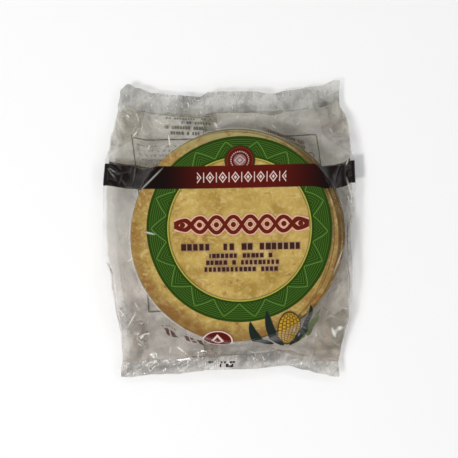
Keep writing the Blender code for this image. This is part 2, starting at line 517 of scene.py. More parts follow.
def sheet_border(rows, columns, face):
    """The four edges of the front or back sheet, which the seals and side folds hold."""
    along, across = np.linspace(0.0, 1.0, rows), np.linspace(0.0, 1.0, columns)
    sides, ends = [], []
    for right in (0, 1):
        foot_y, head_y = corner(right, 0)[1], corner(right, 1)[1]
        y = foot_y + (head_y - foot_y) * along
        x = side_at(right, y)
        sides.append(np.stack([x, y, edge_height(x, y) + face * fold_half(y)], axis=1))
    for head in (0, 1):
        left_x, right_x = corner(0, head)[0], corner(1, head)[0]
        x = left_x + (right_x - left_x) * across
        y = end_at(head, x)
        ends.append(np.stack([x, y, edge_height(x, y) + face * HALF_SEAL], axis=1))
    return sides, ends


def spanned(rows, columns, face):
    """A sheet spanned between its four edges: both ruled surfaces less the one through the corners."""
    (left, right), (foot, head) = sheet_border(rows, columns, face)
    s = np.linspace(0.0, 1.0, columns)[None, :, None]
    t = np.linspace(0.0, 1.0, rows)[:, None, None]
    ends = (1 - t) * foot[None] + t * head[None]
    sides = (1 - s) * left[:, None] + s * right[:, None]
    corners = (1 - t) * ((1 - s) * foot[0] + s * foot[-1]) + t * ((1 - s) * head[0] + s * head[-1])
    return ends + sides - corners


def pinned(points, face):
    """The same points with the four edges put back where the seals and folds hold them."""
    held = spanned(*points.shape[:2], face)
    points[0], points[-1], points[:, 0], points[:, -1] = held[0], held[-1], held[:, 0], held[:, -1]
    return np.ascontiguousarray(points)


# The flat film between the seals: half its width at mid-length, and its length, for each face.
FLAT_HALF = {FRONT: 0.0984, BACK: 0.0953}
FLAT_LENGTH = {FRONT: 0.1965, BACK: 0.1915}
FLAT_MIDDLE = (0.0016, -0.0048)
LEFT_GATHER = 0.0045


def flat_sheet(rows, columns, face):
    """Where each point lies on the film when it is flat, as (u, v).

    The width swells from the seals to mid-length as a sine, because the side tucks take it up.
    The length is a little less down the left side, where the film is gathered.
    """
    t = np.linspace(0.0, 1.0, rows)[:, None]
    s = np.linspace(-1.0, 1.0, columns)[None, :]
    foot = 0.5 * (corner(1, 0)[0] - corner(0, 0)[0])
    head = 0.5 * (corner(1, 1)[0] - corner(0, 1)[0])
    ends = foot + (head - foot) * t
    half = ends + (FLAT_HALF[face] - ends) * np.sin(np.pi * t) ** 0.9
    length = FLAT_LENGTH[face] - LEFT_GATHER * ease(-s)
    u = FLAT_MIDDLE[0] + half * s
    v = FLAT_MIDDLE[1] + length * (t - 0.5)
    return np.stack([u + 0.0 * v, v + 0.0 * u], axis=2)


# Neighbours that the film holds at their flat distance, as (rows, columns, stiffness, only push).
# The last ones only push apart, which keeps the film from folding sharply.
THREADS = (
    (0, 1, 1.0, False), (1, 0, 1.0, False), (1, 1, 0.5, False), (1, -1, 0.5, False),
    (0, 2, 0.3, True), (2, 0, 0.3, True), (0, 4, 0.15, True), (4, 0, 0.15, True),
)


def thread_sets(flat, free):
    """All pairs of neighbours, in sets in which no point stands twice, with each pair's flat distance."""
    rows, columns = free.shape
    sets = []
    for down, over, stiffness, only_push in THREADS:
        first, last = max(-over, 0), columns - max(over, 0)
        stride = 2 * (down or over)
        for start in range(stride):
            if down:
                one = (slice(start, rows - down, stride), slice(first, last))
                other = (slice(start + down, rows, stride), slice(first + over, last + over))
            else:
                one = (slice(0, rows), slice(start, columns - over, stride))
                other = (slice(0, rows), slice(start + over, columns, stride))
            length = np.linalg.norm(flat[other] - flat[one], axis=2)
            both = np.maximum(free[one] + free[other], 1e-9)
            shares = (stiffness * free[one] / both, stiffness * free[other] / both)
            sets.append((one, other, length, *shares, only_push))
    return sets


KEPT_SPEED = 0.97


def settle(points, flat, clear, steps, pull):
    """Lets the sheet find its rest: it falls by `pull` a step, keeps its lengths and is kept clear."""
    free = np.zeros(points.shape[:2])
    free[1:-1, 1:-1] = 1.0
    threads = thread_sets(flat, free)
    before = points.copy()
    for _ in range(steps):
        moved = points + KEPT_SPEED * (points - before)
        moved[..., 2] += pull
        before, points = points, np.where(free[..., None] > 0.0, moved, points)
        for one, other, length, share_one, share_other, only_push in threads:
            reach = points[other] - points[one]
            distance = np.sqrt(np.einsum("ijk,ijk->ij", reach, reach)) + 1e-12
            excess = (distance - length) / distance
            if only_push:
                excess = np.minimum(excess, 0.0)
            reach *= excess[..., None]
            points[one] += share_one[..., None] * reach
            points[other] -= share_other[..., None] * reach
        clear(points, free)
    return points


STACK_HOLD = 0.0762
STACK_LID = STACK_TOP + FILM_GAP
RIM_ROUND = 0.0016
FLOOR_GAP = 0.0004
MIDDLE_GAP = 0.0005


def beside_stack(points):
    """Each point's offset from the leaning stack's axis at its own height, and its distance from it."""
    lean = np.clip(points[..., 2] / STACK_TOP, 0.0, 1.0)[..., None]
    offset = points[..., :2] - (FOOT_CENTRE + (TOP_CENTRE - FOOT_CENTRE) * lean)
    return offset, np.hypot(offset[..., 0], offset[..., 1]) + 1e-9


def clear_front(points, free):
    """Pushes the front sheet out of the stack, over its rounded rim, and above the film's middle."""
    offset, distance = beside_stack(points)
    z = points[..., 2]
    out, up = distance - (STACK_HOLD - RIM_ROUND), z - (STACK_LID - RIM_ROUND)
    inside = (distance < STACK_HOLD) & (z < STACK_LID)
    on_rim = (out > 0.0) & (up > 0.0)
    slant = np.maximum(np.hypot(out, up), 1e-9)
    lift = np.where(on_rim, np.maximum(RIM_ROUND - slant, 0.0) / slant, 0.0)
    on_top = inside & ~on_rim & (STACK_LID - z <= STACK_HOLD - distance)
    beside = inside & ~on_rim & ~on_top
    push_up = np.where(on_top, STACK_LID - z, lift * up) * free
    push_out = np.where(beside, STACK_HOLD - distance, lift * out) * free
    points[..., :2] += (push_out / distance)[..., None] * offset
    points[..., 2] += push_up
    middle = edge_height(points[..., 0], points[..., 1]) + MIDDLE_GAP
    points[..., 2] = np.where(free > 0.0, np.maximum(points[..., 2], middle), points[..., 2])


def clear_back(points, free):
    """Pushes the back sheet out of the stack, or flat under it, and below the film's middle."""
    offset, distance = beside_stack(points)
    z = points[..., 2]
    inside = (distance < STACK_HOLD) & (z > FLOOR_GAP) & (free > 0.0)
    under = inside & (z - FLOOR_GAP <= STACK_HOLD - distance)
    push_out = np.where(inside & ~under, STACK_HOLD - distance, 0.0)
    points[..., :2] += (push_out / distance)[..., None] * offset
    points[..., 2] = np.where(under, FLOOR_GAP, points[..., 2])
    middle = np.maximum(edge_height(points[..., 0], points[..., 1]) - MIDDLE_GAP, FLOOR_GAP)
    points[..., 2] = np.where(free > 0.0, np.clip(points[..., 2], FLOOR_GAP, middle), points[..., 2])


def laid_over(rows, columns, face):
    """A first guess at a sheet: flat on the stack, then straight from the stack's side to the edges."""
    points = spanned(rows, columns, face)
    x, y = points[..., 0], points[..., 1]
    centre, level = (TOP_CENTRE, STACK_LID) if face == FRONT else (FOOT_CENTRE, FLOOR_GAP)
    out = np.maximum(np.hypot(x - centre[0], y - centre[1]) - STACK_HOLD, 0.0)
    to_sides = np.minimum(x - side_at(0, y), side_at(1, y) - x)
    to_ends = np.minimum(end_at(1, x) - y, y - end_at(0, x))
    inward = np.maximum(np.minimum(to_sides, to_ends), 0.0)
    share = (out / (out + inward + 1e-9)) ** 0.9
    points[..., 2] = level + (edge_height(x, y) + face * fold_half(y) - level) * share
    return pinned(points, face)


def halved(points):
    """The grid with a point between each two, on the cubic through their four neighbours."""
    for _ in range(2):
        between = np.empty((2 * len(points) - 1, *points.shape[1:]))
        padded = np.concatenate([2 * points[:1] - points[1:2], points, 2 * points[-1:] - points[-2:-1]])
        between[::2] = points
        between[1::2] = (9.0 * (padded[1:-2] + padded[2:-1]) - (padded[:-3] + padded[3:])) / 16.0
        points = between.transpose(1, 0, 2)
    return points


# Film under its own weight sinks by this much a step, from a start that is uneven by this much.
FRONT_FALL = -2e-6
START_UNEVEN = 0.0006


def hang(face, rows, columns, steps, seed):
    """The settled sheet, found on a coarse grid first and then on finer ones, and its flat places."""
    start = np.random.default_rng(seed)
    clear = clear_front if face == FRONT else clear_back
    points = laid_over(rows, columns, face)
    for level, count in enumerate(steps):
        if level:
            points = pinned(halved(points), face)
        shake = start.normal(0.0, START_UNEVEN * 0.4**level, points.shape[:2])
        points[1:-1, 1:-1, 2] += face * np.abs(shake[1:-1, 1:-1])
        flat = flat_sheet(*points.shape[:2], face)
        points = settle(points, flat, clear, count, FRONT_FALL if face == FRONT else 0.0)
    return points, flat


# Folds that handling has pressed into the front sheet, in millimetres: from (x, y) to (x, y), half
# the fold's width, its height, and the strength of the painted glint along its ridge, which also
# stands for a whitened crease. Above 1 the glint is that much wider too.
PRESSED_FOLDS = (
    (-63.9, 26.3, -46.2, 44.0, 1.6, 0.5, 0.9), (-43.6, 69.0, -41.9, 57.0, 1.5, 0.4, 1.25),
    (-57.3, 61.7, -58.7, 56.5, 1.2, 0.3, 1.0), (-10.9, 77.4, -7.4, 70.8, 2.2, 0.7, 2.2),
    (-21.7, 84.6, -11.6, 86.0, 1.5, 0.4, 0.5), (-70.7, 67.1, -66.4, 72.2, 1.4, 0.4, 1.2),
    (-76.0, 84.7, -72.3, 81.1, 1.0, 0.3, 1.1), (-67.1, 45.9, -69.3, 32.1, 1.5, 0.4, 0.2),
    (85.0, 45.7, 86.7, 51.5, 1.2, 0.3, 0.8), (85.0, 38.6, 90.8, 12.0, 1.6, 0.4, 1.3),
    (72.7, 74.4, 75.9, 69.3, 1.2, 0.4, 0.7), (51.6, 85.8, 52.0, 77.8, 1.4, 0.4, 0.5),
    (51.6, 77.8, 48.0, 74.2, 1.4, 0.4, 0.6), (34.3, 88.6, 42.7, 83.9, 1.5, 0.3, 0.5),
    (0.1, 87.3, 0.7, 83.6, 1.4, 0.4, 0.8), (56.2, 91.2, 56.4, 88.3, 1.2, 0.3, 0.4),
    (71.6, 93.1, 76.0, 90.6, 1.4, 0.3, 0.4), (-63.2, -1.3, -51.6, -4.1, 1.4, 0.25, 0.8),
    (-61.8, -8.9, -58.1, -11.8, 1.2, 0.25, 0.7), (-90.0, -24.1, -83.1, -35.1, 1.8, 0.6, 0.9),
    (-64.2, -68.6, -63.6, -69.2, 1.5, 0.3, 1.6),
    (-72.7, -23.9, -66.9, -19.4, 2.0, 0.6, 0.8), (-82.4, -21.9, -72.2, -22.6, 2.5, 0.5, 0.1),
    (-79.6, -24.7, -65.4, -40.0, 3.0, 0.6, 0.1), (-80.2, -56.7, -74.9, -64.8, 1.2, 0.4, 1.0),
    (-66.7, -59.1, -74.9, -73.0, 1.2, 0.4, 1.15), (-64.6, -80.6, -61.0, -76.6, 2.5, 0.7, 2.0),
    (-66.2, -80.0, -61.8, -84.0, 1.5, 0.5, 0.7), (-55.3, -73.4, -60.4, -79.3, 2.0, 0.6, 0.4),
    (-38.8, -84.8, -31.2, -90.2, 2.0, 0.6, 1.7), (-36.0, -86.4, -25.5, -94.6, 1.4, 0.4, 0.5),
    (-84.0, -59.3, -80.2, -72.5, 1.2, 0.4, 0.4),
    (74.6, -70.8, 78.3, -79.9, 3.0, 1.0, 2.4), (82.6, -70.0, 77.1, -77.3, 2.5, 0.9, 2.0),
    (82.4, -10.0, 72.4, -35.8, 1.6, 0.4, 0.75), (85.0, 25.0, 86.4, 19.0, 1.0, 0.3, 0.8),
    (90.2, 13.8, 88.2, 5.6, 1.4, 0.3, 0.7), (-63.4, 83.0, -63.6, 69.0, 1.4, 0.3, 0.5),
    (-56.2, -74.6, -62.7, -77.5, 1.2, 0.3, 1.0), (-67.2, -77.5, -66.8, -83.6, 1.2, 0.3, 0.8),
    (-66.8, -83.6, -62.3, -85.2, 1.2, 0.3, 0.9),
)
# Half the width of the painted glint along a fold's ridge.
GLINT_HALF = 0.00085


def fold_masks(x, y, fold):
    """A fold's tent, as wide as the fold, and the painted glint along its thin ridge, which also stands for
    whitening. Both fade at its ends.
    """
    x0, y0, x1, y1, half = (0.001 * value for value in fold[:5])
    length = math.hypot(x1 - x0, y1 - y0)
    way_x, way_y = (x1 - x0) / length, (y1 - y0) / length
    along = (x - x0) * way_x + (y - y0) * way_y
    beside = np.abs((x - x0) * way_y - (y - y0) * way_x)
    past = np.maximum(np.abs(along - 0.5 * length) - 0.5 * length, 0.0)
    fade = ease(1.0 - past / (0.12 * length + half))
    taper = np.clip(1.0 - np.abs(2.0 * along / length - 1.0) ** 3, 0.0, 1.0)
    ridge = GLINT_HALF * max(fold[6], 1.0) * (0.5 + 0.5 * taper)
    white = min(fold[6], 1.0) * (taper * ease(1.0 - beside / ridge))
    return fade * np.maximum(1.0 - beside / half, 0.0), white


# The stack's top as the folds see it, in millimetres: its middle, and from where the film is loose.
STACK_MIDDLE = (5.4, -4.5)
LOOSE_FROM = 76.0


def chance_folds(count, seed, lengths, widths, highest, brightest_glint):
    """Straight folds at chance places and turns round the stack."""
    draw = np.random.default_rng(seed)
    x, y = draw.uniform(-92.0, 92.0, 3 * count), draw.uniform(-104.0, 104.0, 3 * count)
    loose = np.flatnonzero(np.hypot(x - STACK_MIDDLE[0], y - STACK_MIDDLE[1]) > LOOSE_FROM)[:count]
    x, y = x[loose], y[loose]
    count = len(loose)
    turn, length = draw.uniform(0.0, np.pi, count), draw.uniform(*lengths, count)
    ends = [x, y, x + length * np.cos(turn), y + length * np.sin(turn)]
    height = draw.uniform(-0.6, 1.0, count) * highest
    # The last column is how bright each fold's painted glint is.
    white = draw.uniform(0.0, 1.0, count) ** 3 * brightest_glint
    return np.stack([*ends, draw.uniform(*widths, count), height, white], 1)


def painted_rim_highlight(points):
    """A painted highlight where the front sheet bends over the stack's rim: at the left and foot, less at
    the head.
    """
    x, y = points[..., 0] - TOP_CENTRE[0], points[..., 1] - TOP_CENTRE[1]
    around = np.degrees(np.arctan2(y, x)) % 360.0
    facing_lamps = ease(1.6 - np.abs(around - 206.0) / 36.0) + 0.8 * ease(1.5 - np.abs(around - 92.0) / 32.0)
    return facing_lamps * ease(1.0 - np.abs(np.hypot(x, y) - STACK_HOLD + 0.0002) / 0.0014)


def creased(points, face, pressed, by_chance, tautest):
    """Moves the sheet out along its normals by its folds, and gives each point's painted glint, which also
    stands for whitened creases.

    Where the sheet is taut on the stack, all folds keep the share `tautest` of their height, and
    those made by chance have no painted glint. They are shallower on the stiff printed band and down the
    middle of the left side.
    """
    x, y = points[..., 0].copy(), points[..., 1].copy()
    distance = beside_stack(points)[1]
    loose = ease((distance - STACK_HOLD + 0.001) / 0.008)
    smooth_left = ease((-0.066 - x) / 0.010) * ease((0.075 - np.abs(y - 0.010)) / 0.020)
    calm = (1.0 - 0.75 * ease((0.014 - np.abs(y - 0.038)) / 0.004)) * (1.0 - 0.55 * smooth_left)
    height, white = np.zeros_like(x), np.zeros_like(x)
    for folds, depth, share in ((pressed, 0.001, 1.0), (by_chance, 0.001 * calm, loose * calm)):
        for fold in folds:
            tent, ridge = fold_masks(x, y, fold)
            height += depth * fold[5] * tent
            white = np.maximum(white, ridge * share)
    down, over = np.gradient(points, axis=0), np.gradient(points, axis=1)
    normal = np.cross(over, down)
    normal /= np.linalg.norm(normal, axis=2, keepdims=True)
    free = np.zeros_like(x)
    free[2:-2, 2:-2] = 1.0
    points = points + (free * height * (tautest + (1.0 - tautest) * loose))[..., None] * face * normal
    (clear_front if face == FRONT else clear_back)(points, free)
    return pinned(points, face), white


# How far the print lies off the film's flat place towards the long sides, as (x, shift along y).
PRINT_SHIFT = (
    (-0.092, 0.0029), (-0.073, 0.0008), (-0.055, 0.0002), (0.060, -0.0004), (0.066, -0.0008),
    (0.077, 0.0006), (0.084, 0.0019), (0.089, 0.0048),
)


def registered(flat, points, on_flat):
    """The flat places, scaled and moved to agree with the sheet where it lies flat on the stack.

    Towards the long sides they turn into the sheet's own y, less a shift that changes across it.
    """
    held, lying = points[on_flat][:, :2], flat[on_flat]
    middle, mean = held.mean(axis=0), lying.mean(axis=0)
    scale = ((held - middle) * (lying - mean)).sum(axis=0) / ((lying - mean) ** 2).sum(axis=0)
    flat = middle + (flat - mean) * scale
    x, y = points[..., 0], points[..., 1]
    aside = ease((np.abs(x) - 0.058) / 0.014)
    flat[..., 1] += aside * (y - smooth_line(PRINT_SHIFT, x) - flat[..., 1])
    return flat


FILM_SPAN = 0.220
MARGIN_COVER = 0.235
FOLD_COVER = 0.05
TAUT_COVER = 0.045
TUCK = 0.0200


def keep_whitening_and_glint(piece, white):
    """Keeps the folds' painted glint, which also stands for whitened creases, at each point of a piece, for
    its material to read.
    """
    attribute = piece.data.attributes.new("white", "FLOAT", "POINT")
    attribute.data.foreach_set("value", white.astype(np.float32).ravel())


def film_piece(name, points, flat, white):
    """A sheet of film with its flat places as UVs."""
    piece = mesh_object(name, points, grid_faces(*points.shape[:2]), 0.5 + flat / FILM_SPAN)
    keep_whitening_and_glint(piece, white)
    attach(piece, "root")
    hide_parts("tortilla_pack")
    return piece


def side_fold(right, rows, flat_edge):
    """A long side's film from the front sheet's edge round to the back sheet's.

    It is a half circle at mid-length. Towards the seals it turns into a V that points inwards.
    """
    (left_edge, right_edge), _ = sheet_border(rows, 3, FRONT)
    edge = right_edge if right else left_edge
    outward = 1.0 if right else -1.0
    c = np.linspace(1.0, -1.0, 11)[None, :]
    x, y = edge[:, 0][:, None], edge[:, 1][:, None]
    tucked = ease((np.abs(y) - 0.050) / 0.022)
    bulge = FOLD_ROUNDING * np.sqrt(1.0 - c * c) * (1.0 - tucked) - TUCK * (1.0 - np.abs(c)) * tucked
    z = edge_height(x, y) + c * fold_half(y)
    points = np.stack([x + outward * bulge, y + 0.0 * c, z], axis=2)
    u = flat_edge[:, 0][:, None] + outward * FOLD_ROUNDING * (1.0 - c)
    flat = np.stack([u, flat_edge[:, 1][:, None] + 0.0 * c], axis=2)
    return (points, flat) if right else (points[:, ::-1], flat[:, ::-1])


# ---- The print ------------------------------------------------------------------------------
# Inks on the inside of the film. The front has a green ring with a zigzag border, a dark red band
# right round the tube with a round tab on it, and small plain ornaments where words would stand.
# Towards the long sides the band is painted near black, as shade.
# All places are in millimetres on the flat film, from its middle.

RING_X, RING_Y = 7.8, 0.0
RING_INNER, RING_OUTER = 51.0, 66.1
ZIGZAG_POINTS = 18.0
ZIGZAG_PHASE = 0.05
ZIGZAG_HEIGHT = 10.2
BAND_EDGES = (29.1, 45.2)
BAND_MIDDLE = 36.9
LOZENGE_STEP = 8.9
TAB_Y = 48.9
GREEN = colour(38, 66, 9)
LIGHT_GREEN = colour(98, 142, 62)
YELLOW = colour(178, 170, 70)
BAND_RED = colour(90, 20, 12)
# The band's red painted near black, as shade, where no lit tortilla lies behind it.
BAND_IN_SHADE = colour(20, 10, 8)
SCRIPT_RED = colour(100, 30, 16)
HALO_PINK = colour(226, 176, 152)
PALE = colour(226, 200, 192)
INK_BROWN = colour(58, 34, 26)


class Ink:
    """What a sheet shows so far: its colour, and how much it covers of what lies behind it."""

    def __init__(self, shade, cover):
        self.shade = shade
        self.cover = cover

    def add(self, mask, shade, cover=0.985):
        """Prints a shade where the mask is 1."""
        self.shade = mask.blend(self.shade, shade)
        self.cover = self.cover + mask * (cover - self.cover)


def dashes(u, v, left, right, middle, half, pitch, seed, grow=0.0):
    """A row of short blocks of chance lengths, some left out, each larger by `grow` all round."""
    step = (u + seed) / pitch
    draw = u.node("TexWhiteNoise", {"noise_dimensions": "1D"}, {"W": step.of("FLOOR")})
    end = 0.55 + draw * 0.35
    block = (step.fraction() - 0.5 * end - 0.06).size() - 0.5 * end - grow / pitch
    row = u.between(left, right) * v.near(middle, half + grow, 0.2)
    return block.rise(0.03, -0.03) * draw.rise(0.149, 0.15) * row


def ring_and_band(ink, u, v):
    """The green ring with its zigzag and hatching, its yellow edge, and the band with its tab."""
    x, y = u - RING_X, v - RING_Y
    r = x.length(y)
    turn = y.of("ARCTAN2", x) * (ZIGZAG_POINTS / (2.0 * math.pi)) + ZIGZAG_PHASE
    zigzag = (turn.fraction() * 2.0 - 1.0).size()
    rise = (r - (RING_INNER + 1.9)) / ZIGZAG_HEIGHT
    ink.add(r.between(RING_INNER, RING_OUTER, 0.2), GREEN)
    field = rise.between(0.0, 1.14, 0.03)
    line = (rise - zigzag).near(0.0, 0.042, 0.03) * rise.between(0.0, 1.0, 0.03)
    rings = (rise * 7.0).fraction().near(0.5, 0.18, 0.12) * (rise - zigzag).rise(0.08, 0.12)
    slants = ((zigzag - rise) * 4.5).fraction().near(0.5, 0.18, 0.12) * (zigzag - rise).rise(0.08, 0.12)
    ink.add((line * 0.90).above((rings + slants) * field * 0.38), LIGHT_GREEN)
    ink.add(r.near(RING_INNER - 0.6, 0.5, 0.3) * 0.5, colour(112, 96, 30))
    ink.add(r.near(RING_INNER, 0.45, 0.2), YELLOW)
    tab_y = y - TAB_Y
    tab = x.length(tab_y)
    # Painted shade: the band's red darkens to near black towards the long sides.
    band_red_and_shade = (u - 12.0).size().rise(60.0, 14.0).blend(BAND_IN_SHADE, BAND_RED)
    ink.add(tab.rise(11.0, 10.6), colour(44, 60, 20))
    ink.add(tab.rise(10.2, 9.8), band_red_and_shade)
    beads = (tab_y.of("ARCTAN2", x) * (26.0 / (2.0 * math.pi))).fraction().near(0.5, 0.28, 0.1)
    ink.add(tab.near(8.9, 0.18) * 0.35, colour(150, 96, 70))
    ink.add(tab.near(6.2, 0.45) * beads * 0.7, PALE)
    lozenge = x.size() * 0.9 + tab_y.size()
    ink.add(tab.rise(4.6, 4.2) * 0.75, colour(150, 118, 118))
    ink.add((lozenge.near(3.2, 0.4) + lozenge.rise(1.5, 1.2)) * 0.6, PALE)
    ink.add(v.between(*BAND_EDGES, 0.2), band_red_and_shade, 1.0)
    across, up = (x - 1.4) / LOZENGE_STEP, y - BAND_MIDDLE
    step = across.fraction()
    spot = ((step - 0.5) * LOZENGE_STEP).size() / 3.1 + up.size() / 4.2
    bars = step.near(0.0, 0.035, 0.02).above(step.near(1.0, 0.035, 0.02))
    shapes = spot.near(0.82, 0.14, 0.05).above(spot.rise(0.40, 0.30)).above(bars * up.near(0.0, 3.6))
    ink.add(shapes * (x - 1.4).near(0.0, 31.3), PALE)


def braid(ink, u, v):
    """Two crossing waves with a pale halo and a bead in each eye."""
    x, y = u - RING_X - 1.4, v - RING_Y - 3.2
    swing = x * (2.0 * math.pi / 24.0)
    reach = 5.6 * (1.0 - (x / 52.0).size().of("POWER", 4.0))
    wave = swing.of("SINE") * reach
    slope = swing.of("COSINE") * 1.45
    narrow = 1.0 / (slope * slope + 1.0).of("SQRT")
    strand = (y - wave).size().below((y + wave).size()) * narrow
    bead = (((x - 6.0) / 12.0 + 0.5).fraction() * 12.0 - 6.0).length(y)
    shape = (strand - 1.35).below(bead - 1.9)
    whole = x.near(0.0, 48.0)
    ink.add(shape.rise(1.0, 0.7) * whole, HALO_PINK)
    ink.add(shape.rise(0.12, -0.12) * whole, SCRIPT_RED)


def small_rows(ink, u, v):
    """Four rows of dark dashes with a faint pale halo."""
    for left, right, middle, half, pitch, seed in (
        (-42.5, 46.0, -12.5, 2.4, 4.3, 0.0),
        (-22.0, 23.5, -18.8, 1.6, 3.1, 31.0),
        (-25.0, 28.0, -23.6, 1.6, 3.1, 57.0),
        (-29.0, 30.0, -28.4, 1.6, 3.1, 83.0),
    ):
        place = (u, v, RING_X + left, RING_X + right, middle)
        ink.add(dashes(*place, half, pitch, seed, 0.55) * 0.55, HALO_PINK)
        ink.add(dashes(*place, half, pitch, seed), INK_BROWN)


def badge(ink, u, v):
    """A small dark red oval with a pale rim, and slanting dashes beside it."""
    x, y = (u - (RING_X - 16.3)) / 10.6, (v + 79.7) / 7.4
    oval = x.length(y)
    ink.add(oval.rise(1.03, 0.99), PALE)
    ink.add(oval.rise(0.93, 0.89), BAND_RED)
    ink.add((x.size() * 1.6 + y.size()).near(0.55, 0.14, 0.05), PALE)
    slant_u, slant_v = u + 0.28 * v, v + 0.30 * u
    ink.add(dashes(slant_u, slant_v, -70.0, -43.0, -92.0, 3.0, 4.6, 6.0), colour(72, 40, 34))
    ink.add(dashes(slant_u, slant_v, -70.0, -52.0, -85.6, 1.1, 2.1, 9.0) * 0.8, colour(122, 88, 52))


def leaf(ink, u, v, base, tip, bow, width, shade):
    """A leaf: a strip along the chord from base to tip, bowed as a parabola and thin at both ends."""
    length = math.hypot(tip[0] - base[0], tip[1] - base[1])
    way_x, way_y = (tip[0] - base[0]) / length, (tip[1] - base[1]) / length
    x, y = u - base[0], v - base[1]
    share = (x * way_x + y * way_y) / length
    swell = (share * (1.0 - share) * 4.0).above(0.0)
    beside = (x * way_y - y * way_x - bow * swell).size() / (width * swell.of("POWER", 0.7) + 0.01)
    ink.add(beside.rise(1.06, 0.94) * share.near(0.5, 0.5, 0.01), shade)


COB_MIDDLE = (42.0, -74.0)
COB_HALF_WIDTH, COB_HALF_LENGTH = 8.6, 14.5
HUSK_DARK = colour(30, 40, 34)
HUSK_GREEN = colour(86, 98, 52)


def corn_cob(ink, u, v):
    """One upright cob of corn: dark husk leaves behind an oval of kernels in rows."""
    leaf(ink, u, v, (32.0, -88.0), (14.0, -66.0), -4.5, 3.4, HUSK_DARK)
    leaf(ink, u, v, (38.0, -88.0), (26.0, -58.0), -3.0, 3.0, HUSK_DARK)
    leaf(ink, u, v, (47.0, -88.0), (66.0, -58.0), 4.5, 3.0, HUSK_GREEN)
    leaf(ink, u, v, (46.0, -88.0), (57.0, -54.0), 4.0, 3.0, HUSK_DARK)
    x, y = (u - COB_MIDDLE[0]) / COB_HALF_WIDTH, (v - COB_MIDDLE[1]) / COB_HALF_LENGTH
    oval = x.length(y)
    ink.add(oval.rise(1.08, 1.03), colour(64, 62, 26))
    inside = oval.rise(0.99, 0.94)
    ink.add(inside, colour(104, 74, 20))
    across = x / (1.0 - y * y).above(0.05).of("SQRT") * 3.0
    row = across.of("FLOOR") * 0.5
    kernel = across.fraction().near(0.5, 0.36, 0.1) * (y * 5.6 + row).fraction().near(0.5, 0.36, 0.1)
    ink.add(kernel * inside, (x + 0.4).rise(-0.6, 1.0).blend(colour(198, 156, 52), colour(176, 140, 44)))
    leaf(ink, u, v, (40.0, -90.0), (27.0, -70.0), -2.0, 3.2, HUSK_DARK)
    leaf(ink, u, v, (44.0, -90.0), (57.0, -66.0), 3.0, 3.0, HUSK_DARK)


# Where the rows of dashes on the back start and end: those in the frame, and those at the head.
FRAME_ROWS = ((-68.0, -30.0), (-67.0, -28.0), (-66.0, -34.0), (-68.0, -30.0), (-66.0, -38.0))
HEAD_ROWS = ((-50.0, -12.0), (-47.0, -11.0), (-34.0, -12.0), (-46.0, -16.0), (-44.0, -20.0))


def back_inks(ink, u, v):
    """The back's print as it shows through: a thin frame, rows of grey dashes, the band's other half,
    painted near black as shade.
    """
    from_left, from_right = u + 0.078 * v + 65.4, u + 0.10 * v - 73.9
    line = (0.0, 0.45, 0.2)
    inside = from_left.rise(-0.4, 0.0) * from_right.rise(0.4, 0.0)
    ink.add(inside * v.between(47.0, 68.0, 1.0) * 0.5, colour(176, 174, 164), 0.45)
    left_line = from_left.near(*line) * v.between(-60.0, 69.2)
    right_line = from_right.near(*line) * v.between(24.0, 69.2)
    foot_line = (v + 60.0).near(*line) * u.rise(-48.0, -51.0)
    top_line = (v - 68.4 - 0.021 * u).near(*line)
    box = left_line.above(right_line).above(top_line.above(foot_line) * inside)
    ink.add(box * 0.9, colour(40, 46, 44))
    for k, (left, right) in enumerate(FRAME_ROWS):
        row = dashes(u, v, left, right, 62.5 - 3.4 * k, 0.7, 2.1, 13.0 * k + 2.0)
        ink.add(row * 0.45, colour(80, 84, 80))
    for k, (left, right) in enumerate(HEAD_ROWS):
        row = dashes(u, v + 0.05 * u, left, right, 87.0 - 4.1 * k, 1.2, 2.0, 17.0 * k)
        ink.add(row * 0.8, colour(66, 66, 62))
    wedge = v + 0.38 * u
    ink.add(wedge.between(80.0, 87.0, 0.8) * u.between(27.0, 58.0, 2.0) * 0.6, colour(120, 88, 92), 0.8)
    for left, right, middle, seed in ((29.0, 57.0, 85.2, 5.0), (32.0, 58.0, 81.8, 25.0)):
        ink.add(dashes(u, wedge, left, right, middle, 1.2, 1.7, seed) * 0.8, colour(84, 42, 48))
    ink.add((u - 62.0).length(v - 54.0).near(2.3, 0.4) * 0.7, colour(84, 84, 84))
    ink.add(v.between(BAND_EDGES[0], 47.0, 0.3), BAND_IN_SHADE, 0.93)


def front_inks(ink, u, v):
    for prints in (ring_and_band, braid, small_rows, badge, corn_cob):
        prints(ink, u, v)


